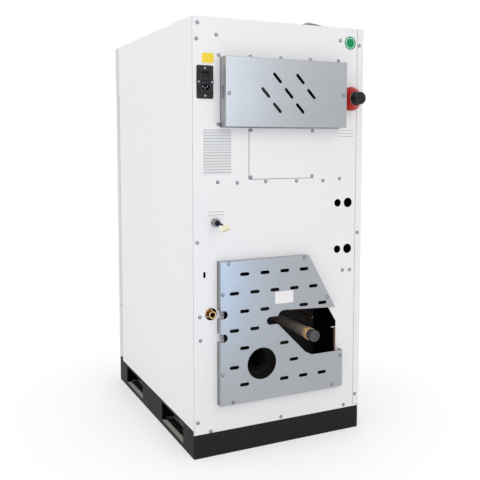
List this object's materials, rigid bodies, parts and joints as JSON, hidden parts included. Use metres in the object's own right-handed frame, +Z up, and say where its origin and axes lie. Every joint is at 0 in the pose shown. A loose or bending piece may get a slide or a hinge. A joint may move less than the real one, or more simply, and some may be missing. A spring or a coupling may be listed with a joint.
{
  "type": "pellet boiler",
  "caption": "Free-standing pellet boiler in a white sheet casing on a black plinth, with front door, ash drawer, pellet hopper, feed screw, exhaust fan and rear water and flue connections",
  "frame": {"origin": "on the floor under the middle of the casing", "axes": "+Z up, -Y is the front with the door, +Y is the rear with the connections"},
  "size_m": [0.57, 0.886, 1.276],
  "materials": {
    "white_paint": "satin powder coat",
    "front_paint": "satin powder coat",
    "black_paint": "satin",
    "galvanised": "zinc coated sheet",
    "frame_steel": "zinc coated sheet",
    "screw_steel": "zinc plated",
    "boiler_steel": "matt",
    "furnace_steel": "mill finish",
    "wool": "mineral wool",
    "rope": "glass rope",
    "cast": "raw casting",
    "refractory": "pressed fibre board",
    "brass": "machined",
    "pipe_steel": "mill finish",
    "red_plastic": "gloss",
    "black_plastic": "matt",
    "grey_plastic": "matt",
    "cream_plastic": "matt",
    "cable_rubber": "matt",
    "gland_metal": "nickel plated",
    "window": "clear",
    "button_plastic": "matt",
    "board": "solder mask",
    "motor": "satin",
    "handle_plastic": "matt"
  },
  "bodies": {
    "casing": {"plinth": "black_paint", "rear_frame": "frame_steel", "front_frame": "frame_steel", "side_panel_left": "white_paint", "side_panel_right": "white_paint", "top_panel": "white_paint", "rear_panel": "white_paint", "inspection_plate": "white_paint", "upper_cover": "galvanised", "lower_cover": "galvanised", "cover_spacers": "frame_steel", "control_fascia": "front_paint", "display_window": "window", "door_pivots": "screw_steel", "boiler_jacket": "boiler_steel", "furnace": "furnace_steel", "ash_bay": "furnace_steel", "boiler_insulation": "wool", "burner_base": "cast", "burner_pot": "cast", "igniter": "screw_steel", "flame_baffle": "refractory", "hopper": "frame_steel", "auger_tube": "frame_steel", "auger_gearmotor": "motor", "lid_hinges": "screw_steel", "flue_box": "boiler_steel", "fan_housing": "boiler_steel", "fan_motor": "motor", "flue_spigot": "boiler_steel", "water_pipe": "pipe_steel", "union_ring": "brass", "pipe_cap": "grey_plastic", "drain_nipple": "brass", "temperature_probe": "brass", "relief_pipe": "pipe_steel", "relief_valve_body": "brass", "relief_bonnet": "red_plastic", "inlet_plate": "black_plastic", "power_inlet": "black_plastic", "inlet_pins": "screw_steel", "cable_gland": "gland_metal", "gland_seal": "cable_rubber", "probe_cable": "cable_rubber", "probe_connector": "cream_plastic", "control_board": "board"},
    "front_door": {"front_door": "front_paint", "door_inner": "frame_steel", "door_seal": "rope"},
    "door_handle": {"door_handle": "handle_plastic"},
    "ash_drawer": {"drawer_front": "front_paint", "ash_drawer": "frame_steel"},
    "hopper_lid": {"hopper_lid": "white_paint"},
    "auger": {"auger_screw": "furnace_steel"},
    "fan_wheel": {"fan_impeller": "frame_steel"},
    "relief_knob": {"relief_knob": "black_plastic"},
    "rocker": {"rocker_switch": "black_plastic"},
    "button_up": {"button_up": "button_plastic"},
    "button_down": {"button_down": "button_plastic"},
    "button_power": {"button_power": "button_plastic"}
  },
  "joints": [
    {"name": "front_door_swing", "type": "hinge", "parent": "casing", "child": "front_door", "pos_m": [0.274, -0.362, 0.6915], "axis": [0, 0, 1], "range_deg": [0, 110]},
    {"name": "door_handle_turn", "type": "hinge", "parent": "front_door", "child": "door_handle", "pos_m": [-0.263, -0.39, 0.88], "axis": [0, 1, 0], "range_deg": [0, 90]},
    {"name": "ash_drawer_slide", "type": "slide", "parent": "casing", "child": "ash_drawer", "axis": [0, -1, 0], "range_m": [0, 0.3]},
    {"name": "hopper_lid_swing", "type": "hinge", "parent": "casing", "child": "hopper_lid", "pos_m": [-0.2685, 0.191, 1.2688], "axis": [0, -1, 0], "range_deg": [0, 100]},
    {"name": "auger_spin", "type": "hinge", "parent": "casing", "child": "auger", "pos_m": [0, -0.145, 0.881], "axis": [0, 1, 0], "continuous": true},
    {"name": "fan_spin", "type": "hinge", "parent": "casing", "child": "fan_wheel", "pos_m": [0.0756, 0.245, 0.3064], "axis": [1, 0, 0], "continuous": true},
    {"name": "relief_knob_turn", "type": "hinge", "parent": "casing", "child": "relief_knob", "pos_m": [-0.24, 0.4213, 1.051], "axis": [0, 1, 0], "range_deg": [0, 90]},
    {"name": "rocker_tilt", "type": "hinge", "parent": "casing", "child": "rocker", "pos_m": [0.2465, 0.388, 1.1005], "axis": [1, 0, 0], "range_deg": [0, 20]},
    {"name": "button_up_press", "type": "slide", "parent": "casing", "child": "button_up", "axis": [0, 1, 0], "range_m": [0, 0.002], "stiffness_N_per_m": 500},
    {"name": "button_down_press", "type": "slide", "parent": "casing", "child": "button_down", "axis": [0, 1, 0], "range_m": [0, 0.002], "stiffness_N_per_m": 500},
    {"name": "button_power_press", "type": "slide", "parent": "casing", "child": "button_power", "axis": [0, 1, 0], "range_m": [0, 0.002], "stiffness_N_per_m": 500}
  ]
}
